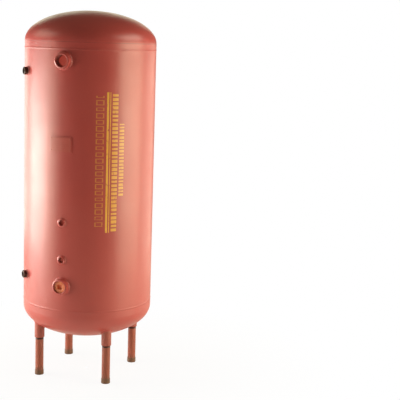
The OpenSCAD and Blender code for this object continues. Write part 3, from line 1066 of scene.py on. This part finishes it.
class TANK_OT_legs(bpy.types.Operator):
    """Thread the pipe legs"""
    bl_idname = "tank.legs"
    bl_label = "Legs"

    def execute(self, context):
        sizes = context.scene.tank_sizes
        columns = 96
        angle = around(columns)
        for corner in CORNERS:
            node = corner + "_leg"
            place = corner_place(corner)
            low, high, inner, outer = measured(node, place)
            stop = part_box(corner + "_socket")[0].z - 0.0003
            start = stop - sizes.thread_in_sight
            root = outer - sizes.thread_depth
            profile = [(inner, low), (outer - 0.0008, low), (outer, low + 0.0008)]
            profile += [(outer, z) for z in np.linspace(low + 0.01, start - 0.002, 8)]
            for level in np.arange(start, stop - 0.0004, sizes.small_pitch / 6):
                fade = min(1.0, (level - start) / (1.5 * sizes.small_pitch))
                wave = thread_wave(level / sizes.small_pitch - angle / (2 * math.pi))
                depth = sizes.thread_depth * (0.35 + 0.65 * fade) * fade
                profile.append((outer - depth * (1 - wave), level))
            profile += [(root, stop), (root, high - 0.001), (root - 0.001, high)]
            profile += [(inner, high), (inner, (low + high) / 2)]
            piece = ring_piece(corner + "_leg_pipe", lathe_rings(profile, columns), place)
            settle(piece, node, "Leg primer")
        return {"FINISHED"}


class TANK_OT_foot_caps(bpy.types.Operator):
    """Press the foot caps"""
    bl_idname = "tank.foot_caps"
    bl_label = "Foot caps"

    def execute(self, context):
        columns = 96
        for seed, corner in enumerate(CORNERS):
            node = corner + "_foot_cap"
            place = corner_place(corner)
            _, high, _, outer = measured(node, place)
            inner, floor = outer - 0.002, 0.003
            ragged = 0.0006 * looped_drift(around(columns), 2.5, seed + 40.5)
            profile = [(0.0005, 0.0), (outer - 0.004, 0.0)]
            profile += arc((outer - 0.003, 0.003), 0.003, -90, 0, 6)
            profile += [(outer, 0.008), (outer - 0.0002, 0.018), (outer - 0.0003, 0.026)]
            profile += [(outer - 0.0002, high - 0.0022 + ragged),
                        (outer - 0.0008, high - 0.0008 + ragged),
                        (inner + 0.0006, high - 0.0008 + ragged),
                        (inner, high - 0.0020 + ragged)]
            profile += [(inner, floor), (0.0005, floor)]
            piece = ring_piece(corner + "_cap", lathe_rings(profile, columns), place)
            settle(piece, node, "Cap iron")
        return {"FINISHED"}


def bent_plate(name, width, height, corner, inner_r, thickness, azimuth, level, relief):
    """Rounded plate that lies on a cylinder about the vessel's axis, with a relief."""
    across = np.linspace(-width / 2, width / 2, 127)
    upward = np.linspace(-height / 2, height / 2, 91)
    x, z = np.meshgrid(across, upward)
    over_x = np.abs(x) - (width / 2 - corner)
    over_z = np.abs(z) - (height / 2 - corner)
    far = np.hypot(np.maximum(over_x, 0), np.maximum(over_z, 0))
    pull = np.where((over_x > 0) & (over_z > 0) & (far > corner),
                    corner / np.maximum(far, 1e-9), 1.0)
    x = np.sign(x) * (width / 2 - corner + over_x * pull) * (pull < 1) + x * (pull >= 1)
    z = np.sign(z) * (height / 2 - corner + over_z * pull) * (pull < 1) + z * (pull >= 1)
    rise = thickness + relief(x, z)
    turn = azimuth + x / inner_r
    layers = []
    for radius in (inner_r + rise, inner_r + 0 * rise):
        layers.append(np.stack([radius * np.sin(turn), -radius * np.cos(turn),
                                level + z], -1))
    rows, columns = x.shape
    count = rows * columns
    faces = grid_faces(rows, columns, False, False)
    faces += [[i + count for i in face[::-1]] for face in faces]
    border = [i for i in range(columns)]
    border += [r * columns + columns - 1 for r in range(1, rows)]
    border += [(rows - 1) * columns + c for c in range(columns - 2, -1, -1)]
    border += [r * columns for r in range(rows - 2, 0, -1)]
    for first, second in zip(border, border[1:] + border[:1]):
        faces.append([second, first, first + count, second + count])
    points = np.concatenate([layer.reshape(-1, 3) for layer in layers])
    piece = new_piece(name, points, faces)
    outward(piece)
    return piece


def ridge(distance, half, height):
    """Raised line of soft section at a distance of zero."""
    return height * np.clip(1 - (distance / half) ** 2, 0, 1)


def plate_relief(width, height):
    """Function giving the embossed border and ruled rows of a blank data plate."""
    def relief(x, z):
        border = np.maximum(np.abs(x) / (width / 2 - 0.004), np.abs(z) / (height / 2 - 0.004))
        rise = ridge((border - 1) * 0.04, 0.0014, 0.00045)
        inside = (np.abs(x) < width / 2 - 0.012) & (np.abs(z) < height / 2 - 0.010)
        for level in (-0.022, -0.011, 0.0, 0.011):
            rise = np.maximum(rise, ridge(z - level, 0.0009, 0.00035) * inside)
        below = z < 0.011
        rise = np.maximum(rise, ridge(x - 0.008, 0.0009, 0.00035) * inside * below)
        return rise
    return relief


class TANK_OT_data_plate(bpy.types.Operator):
    """Bend the data plate and its pad to the shell and pin them"""
    bl_idname = "tank.data_plate"
    bl_label = "Data plate"

    def execute(self, context):
        middle = centre("data_plate_pad")
        azimuth = math.atan2(middle.x, -middle.y)
        level = middle.z
        place = Matrix.Rotation(azimuth, 4, "Z")
        _, _, pad_inner, pad_outer = measured("data_plate_pad", place)
        low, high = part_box("data_plate_pad")
        pad_height = high.z - low.z
        pad_t = pad_outer - VESSEL_R
        plate_low, plate_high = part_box("data_plate")
        plate_height = plate_high.z - plate_low.z
        pad_width = 2 * VESSEL_R * math.asin((high.x - low.x) / 2 / VESSEL_R)
        plate_width = pad_width - (pad_height - plate_height)
        plate_t = measured("data_plate", place)[3] - pad_outer
        pad = bent_plate("data_plate_pad_sheet", pad_width - 0.001, pad_height, 0.006,
                         VESSEL_R, pad_t, azimuth, level, lambda x, z: 0 * x)
        settle(pad, "data_plate_pad", "Plate primer")
        plate = bent_plate("data_plate_sheet", plate_width, plate_height, 0.004,
                           VESSEL_R + pad_t, plate_t, azimuth, level,
                           plate_relief(plate_width, plate_height))
        settle(plate, "data_plate", "Data plate film")
        self.pins(azimuth)
        return {"FINISHED"}

    def pins(self, azimuth):
        node = frame["nodes"]["data_plate_pins"]
        low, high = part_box("data_plate_pins")
        outer = measured("data_plate_pins", Matrix.Identity(4))[3]
        head = 0.003
        points, faces = [], []
        spread = math.asin(((high.x - low.x) / 2 - head) / VESSEL_R)
        for side in (-1, 1):
            for level in (low.z + head, high.z - head):
                place = (Matrix.Translation((0, 0, level))
                         @ Matrix.Rotation(azimuth + side * spread, 4, "Z")
                         @ Matrix.Rotation(math.pi / 2, 4, "X"))
                dome = [(0.0001, outer), (0.0010, outer - 0.00008), (0.0019, outer - 0.0004),
                        (0.0026, outer - 0.0009), (0.0029, outer - 0.0014),
                        (0.0029, outer - 0.0020), (0.0015, outer - 0.0021),
                        (0.0015, outer - 0.0045), (0.0001, outer - 0.0045)]
                rings = lathe_rings(dome, 24)
                rows, columns = rings.shape[:2]
                start = len(points)
                points += list(placed(rings.reshape(-1, 3), place))
                faces += [[i + start for i in face]
                          for face in grid_faces(rows, columns, True)]
        piece = new_piece("data_plate_drive_pins", points, faces)
        outward(piece)
        settle(piece, node.name, "Data plate film")


class TANK_OT_hidden_steel(bpy.types.Operator):
    """Give the backing rings inside the vessel their mill scale"""
    bl_idname = "tank.hidden_steel"
    bl_label = "Backing rings"

    def execute(self, context):
        for name in ("top_backing_ring", "bottom_backing_ring"):
            node = frame["nodes"][name]
            node.data.materials.clear()
            node.data.materials.append(bpy.data.materials["Mill scale"])
        return {"FINISHED"}


class TANK_OT_stage(bpy.types.Operator):
    """Set the pale floor, the soft lights and the camera"""
    bl_idname = "tank.stage"
    bl_label = "Stage"

    def execute(self, context):
        studio = context.scene.tank_studio
        self.floor()
        self.surroundings(context.scene)
        self.lights(studio)
        self.camera(context.scene, studio)
        context.scene.view_settings.view_transform = "Standard"
        return {"FINISHED"}

    def floor(self):
        _, maker, shader = new_material("Pale floor")
        where = maker.where()
        cloud = maker.noise(where, 1.3, 3.0)
        tone = maker.mix(cloud, (0.86, 0.82, 0.79, 1.0), (0.90, 0.87, 0.84, 1.0))
        maker.feed(tone, shader.inputs["Base Color"])
        shader.inputs["Roughness"].default_value = 0.7
        shader.inputs["Specular IOR Level"].default_value = 0.1
        far = maker.add("ShaderNodeVectorMath", {0: where}, operation="LENGTH")
        fade = maker.ramp(far.outputs["Value"], 0.2, 1.6)
        straight = maker.add("ShaderNodeLightPath").outputs["Is Camera Ray"]
        share = maker.math("MULTIPLY", straight, maker.math("MULTIPLY_ADD", fade, 0.1, 0.9))
        white = maker.add("ShaderNodeEmission", {"Color": (1, 1, 1, 1), "Strength": 1.0})
        blend = maker.add("ShaderNodeMixShader", {0: share, 1: shader.outputs["BSDF"],
                                                  2: white.outputs[0]})
        output = next(n for n in maker.tree.nodes if n.type == "OUTPUT_MATERIAL")
        maker.feed(blend.outputs[0], output.inputs["Surface"])
        rings = np.array([[(r * math.cos(a), r * math.sin(a), 0.0) for a in around(64)]
                          for r in (60.0, 12.0, 3.0, 0.01)])
        floor = new_piece("floor", rings.reshape(-1, 3), grid_faces(len(rings), 64, False))
        for face in floor.data.polygons:
            if face.normal.z < 0:
                face.flip()
        floor.data.materials.append(bpy.data.materials["Pale floor"])

    def surroundings(self, scene):
        world = bpy.data.worlds.new("Studio")
        world.use_nodes = True
        world.node_tree.nodes.clear()
        maker = Nodes(world.node_tree)
        output = maker.add("ShaderNodeOutputWorld")
        seen = maker.add("ShaderNodeBackground", {"Color": (1, 1, 1, 1), "Strength": 1.0})
        where = maker.add("ShaderNodeTexCoord").outputs["Generated"]
        up = maker.add("ShaderNodeSeparateXYZ", {0: where}).outputs["Z"]
        level = maker.ramp(up, 0.0, 0.7)
        tone = maker.mix(level, (0.18, 0.17, 0.145, 1), (0.085, 0.088, 0.062, 1))
        room = maker.add("ShaderNodeBackground", {"Color": tone, "Strength": 1.0})
        straight = maker.add("ShaderNodeLightPath").outputs["Is Camera Ray"]
        blend = maker.add("ShaderNodeMixShader", {0: straight, 1: room.outputs[0],
                                                  2: seen.outputs[0]})
        maker.feed(blend.outputs[0], output.inputs["Surface"])
        scene.world = world

    def area(self, name, width, tall, power, tint):
        """Area light that the camera doesn't see."""
        data = bpy.data.lights.new(name, "AREA")
        data.shape = "RECTANGLE"
        data.size, data.size_y = width, tall
        data.energy = power
        data.color = tint
        light = bpy.data.objects.new(name, data)
        light.visible_camera = False
        bpy.context.scene.collection.objects.link(light)
        return light

    def softbox(self, name, azimuth, distance, height, width, tall, power, tint):
        light = self.area(name, width, tall, power, tint)
        turn = math.radians(azimuth)
        light.location = (distance * math.sin(turn), -distance * math.cos(turn), height)
        aim = Vector((0, 0, 1.2)) - light.location
        light.rotation_mode = "QUATERNION"
        light.rotation_quaternion = aim.to_track_quat("-Z", "Y")

    def lights(self, studio):
        camera = math.degrees(studio.azimuth)
        key, fill = studio.key, studio.fill
        self.softbox("key", camera - 98, 2.9, 0.95, 2.2, 1.4, key, (1, 0.96, 0.86))
        self.softbox("wing", camera - 70, 3.4, 1.0, 1.5, 1.6, key * 0.30, (1, 0.93, 0.72))
        self.softbox("left edge", camera - 142, 3.2, 1.1, 1.8, 1.8, key * 0.3, (1, 0.95, 0.84))
        self.softbox("fill", camera + 73, 3.6, 1.2, 3.1, 2.2, fill, (1, 0.92, 0.66))
        self.softbox("edge", camera + 124, 3.4, 1.0, 2.6, 2.0, fill * 0.36, (1, 0.92, 0.72))
        self.softbox("lift", camera + 78, 3.6, 3.9, 3.0, 2.0, fill * 0.62, (1, 0.90, 0.72))
        self.softbox("left lift", camera - 96, 3.6, 3.9, 3.0, 2.0, key * 0.34, (1, 0.92, 0.72))
        self.softbox("rear", camera + 180, 4.5, 3.3, 3.6, 1.6, 30.0, (0.96, 1.0, 0.74))
        for level in (0.62, 1.30, 1.86):
            self.lamp("inside %d" % round(level * 100), level, studio.inside)

    def lamp(self, name, level, power):
        """Small lamp inside the vessel that faces the wall behind the ports' side."""
        light = self.area(name, 0.25, 0.25, power, (1, 0.84, 0.60))
        light.location = (0, 0, level)
        light.rotation_euler = (math.radians(108), 0, 0)

    def camera(self, scene, studio):
        data = bpy.data.cameras.new("camera")
        data.sensor_width = 36.0
        data.lens = studio.lens
        data.clip_start, data.clip_end = 0.1, 100.0
        ahead = Vector((math.sin(studio.yaw) * math.cos(studio.pitch),
                        math.cos(studio.yaw) * math.cos(studio.pitch),
                        -math.sin(studio.pitch)))
        level = Vector((math.cos(studio.yaw), -math.sin(studio.yaw), 0))
        upright = level.cross(ahead)
        right = math.cos(studio.roll) * level + math.sin(studio.roll) * upright
        up = math.cos(studio.roll) * upright - math.sin(studio.roll) * level
        turn = Matrix((right, up, -ahead)).transposed().to_4x4()
        place = Matrix.Translation((0, -studio.distance, studio.height)) @ turn
        camera = bpy.data.objects.new("camera", data)
        camera.matrix_world = Matrix.Rotation(studio.azimuth, 4, "Z") @ place
        scene.collection.objects.link(camera)
        scene.camera = camera


class TANK_PT_panel(bpy.types.Panel):
    """Panel that lists the tank's operators"""
    bl_idname = "TANK_PT_panel"
    bl_label = "Receiver tank"
    bl_space_type = "VIEW_3D"
    bl_region_type = "UI"
    bl_category = "Tank"

    def draw(self, context):
        for operator in OPERATORS:
            self.layout.operator(operator.bl_idname)
        for group in ("tank_sizes", "tank_finish", "tank_studio"):
            settings = getattr(context.scene, group)
            for name in settings.__annotations__:
                self.layout.prop(settings, name)


OPERATORS = (TANK_OT_finishes, TANK_OT_shell, TANK_OT_heads, TANK_OT_seams,
             TANK_OT_couplings, TANK_OT_port_welds, TANK_OT_port_plug, TANK_OT_sockets,
             TANK_OT_legs, TANK_OT_foot_caps, TANK_OT_data_plate, TANK_OT_hidden_steel,
             TANK_OT_stage)
SETTINGS = (("tank_sizes", TANK_PG_sizes), ("tank_finish", TANK_PG_finish),
            ("tank_studio", TANK_PG_studio))


def register():
    """Registers the settings, the operators and the panel."""
    for name, group in SETTINGS:
        bpy.utils.register_class(group)
        setattr(bpy.types.Scene, name, bpy.props.PointerProperty(type=group))
    for part in OPERATORS + (TANK_PT_panel,):
        bpy.utils.register_class(part)


def unregister():
    """Takes them all away again."""
    for part in (TANK_PT_panel,) + OPERATORS[::-1]:
        bpy.utils.unregister_class(part)
    for name, group in SETTINGS[::-1]:
        delattr(bpy.types.Scene, name)
        bpy.utils.unregister_class(group)


def main():
    """Builds the tank."""
    register()
    for operator in OPERATORS:
        area, name = operator.bl_idname.split(".")
        getattr(getattr(bpy.ops, area), name)()
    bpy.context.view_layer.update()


if __name__ == "__main__":
    main()
